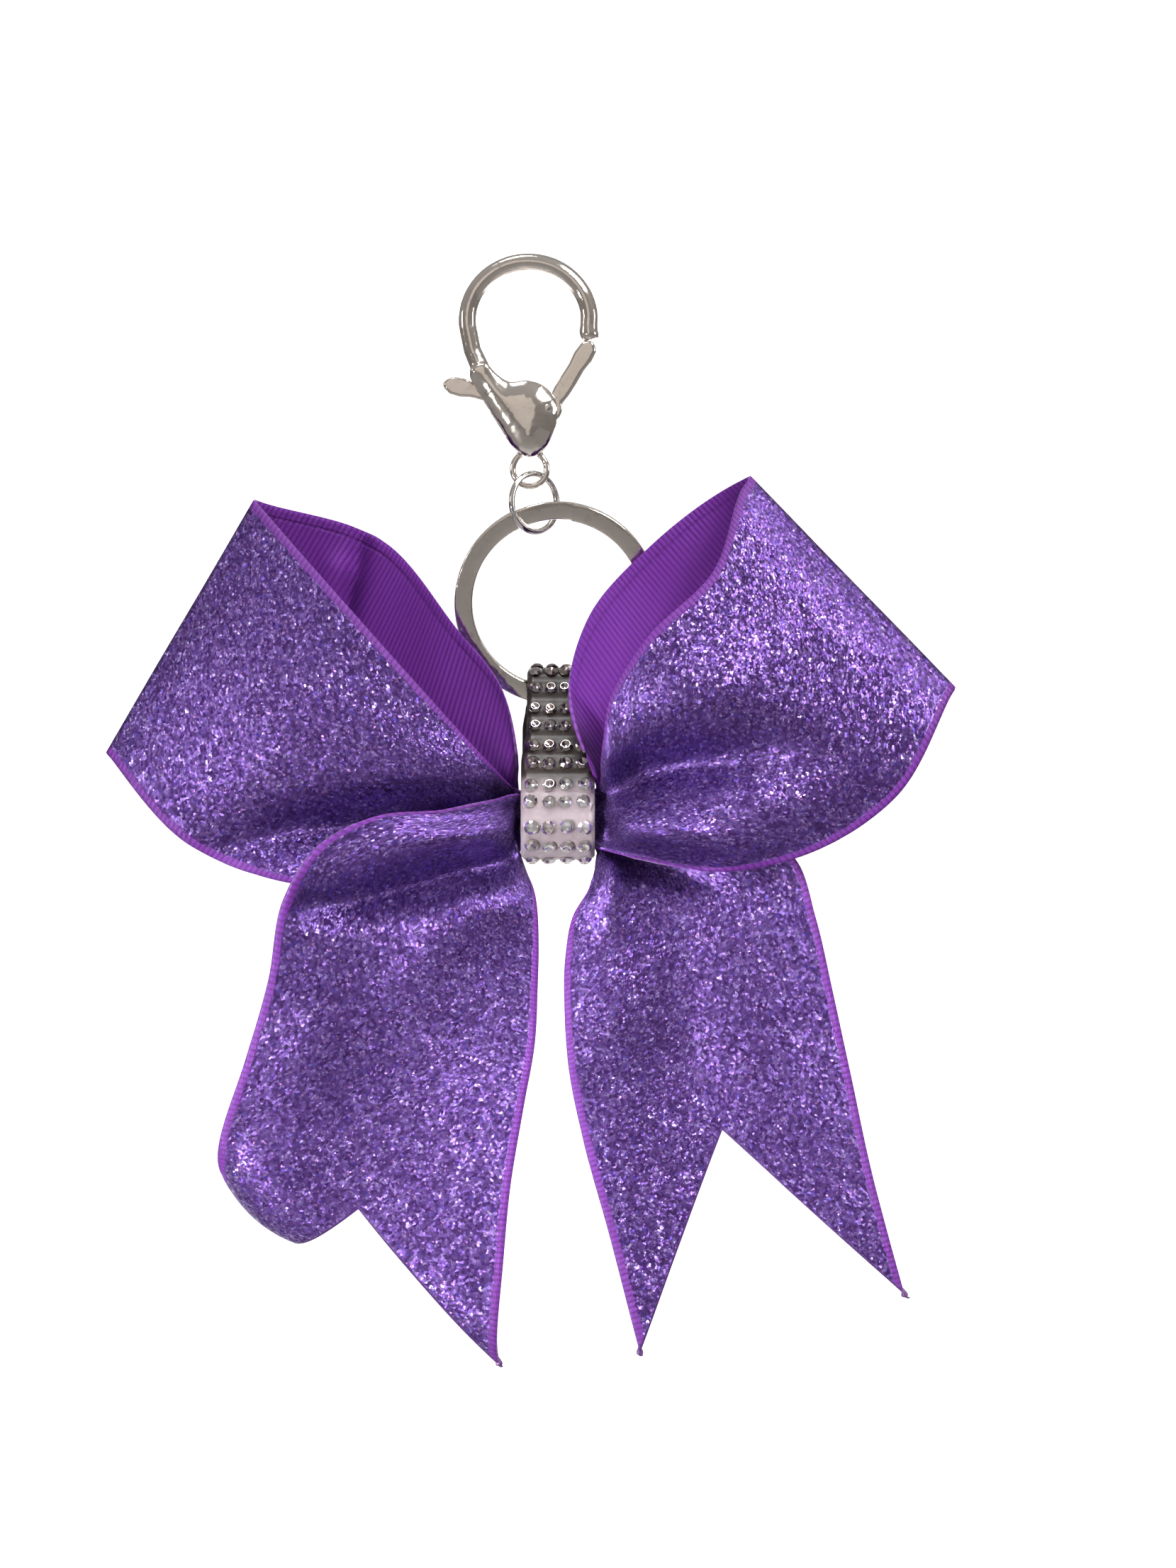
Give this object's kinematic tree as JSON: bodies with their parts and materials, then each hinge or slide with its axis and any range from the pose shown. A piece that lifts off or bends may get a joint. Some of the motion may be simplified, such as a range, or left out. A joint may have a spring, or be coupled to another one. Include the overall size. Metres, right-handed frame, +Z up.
{
  "type": "cheer hair bow bag charm",
  "caption": "Glitter ribbon bow with V-cut tails, gathered by a rhinestone band that hangs from a split ring, a jump ring and a lobster clasp.",
  "frame": {"origin": "inside of the top of the clasp's hook, where the charm hangs", "axes": "+Z up, against gravity, along the length of the hanging charm; +X to the right of the bow seen from its front; the front of the bow faces -Y"},
  "size_m": [0.1125, 0.0272, 0.1477],
  "materials": {
    "nickel_plate": "bright nickel plate on cast zinc, slightly worn at the edges",
    "ring_steel": "plated steel wire, bright",
    "glitter_ribbon": "purple grosgrain with a coarse violet glitter coat on one side",
    "tie_thread": "wound purple thread",
    "band_silicone": "clear to grey silicone, glossy",
    "crystal": "faceted clear stones with foil backs",
    "clear_glue": "set hot glue"
  },
  "bodies": {
    "clasp": {"clasp_body": "nickel_plate", "clasp_pin": "ring_steel", "clasp_spring": "ring_steel"},
    "lever": {"clasp_lever": "nickel_plate"},
    "jump_ring": {"jump_ring": "ring_steel"},
    "split_ring": {"split_ring": "nickel_plate"},
    "bow": {"band_base": "band_silicone", "band_lap": "band_silicone", "glue_film": "clear_glue", "knot_tie": "tie_thread", "ribbon_left_loop": "glitter_ribbon", "ribbon_left_tail": "glitter_ribbon", "ribbon_right_loop": "glitter_ribbon", "ribbon_right_tail": "glitter_ribbon", "stone_row_01": "crystal", "stone_row_02": "crystal", "stone_row_03": "crystal", "stone_row_04": "crystal", "stone_row_05": "crystal", "stone_row_06": "crystal", "stone_row_07": "crystal", "stone_row_08": "crystal", "stone_row_09": "crystal", "stone_row_10": "crystal", "stone_row_11": "crystal", "stone_row_12": "crystal", "stone_row_13": "crystal", "stone_row_14": "crystal", "stone_row_15": "crystal", "stone_row_16": "crystal", "stone_row_17": "crystal", "stone_row_18": "crystal", "stone_row_19": "crystal", "stone_row_20": "crystal"}
  },
  "joints": [
    {"name": "lever_pivot", "type": "hinge", "parent": "clasp", "child": "lever", "pos_m": [0.0019, 0, -0.0186], "axis": [0, -1, 0], "range_deg": [0, 22], "stiffness_Nm_per_rad": 0.03, "springref_deg": -20.05, "deforming": ["clasp_spring"]},
    {"name": "eye_swing", "type": "hinge", "parent": "clasp", "child": "jump_ring", "pos_m": [-0.0005, 0, -0.0272], "axis": [0, 1, 0], "range_deg": [-30, 30]},
    {"name": "ring_swing", "type": "hinge", "parent": "jump_ring", "child": "split_ring", "pos_m": [0.0001, 0, -0.03245], "axis": [1, 0, 0], "range_deg": [-20, 25]},
    {"name": "bow_swing", "type": "hinge", "parent": "split_ring", "child": "bow", "pos_m": [0.0031, 0.0052, -0.0567], "axis": [1, 0, 0], "range_deg": [-2, 60]}
  ]
}
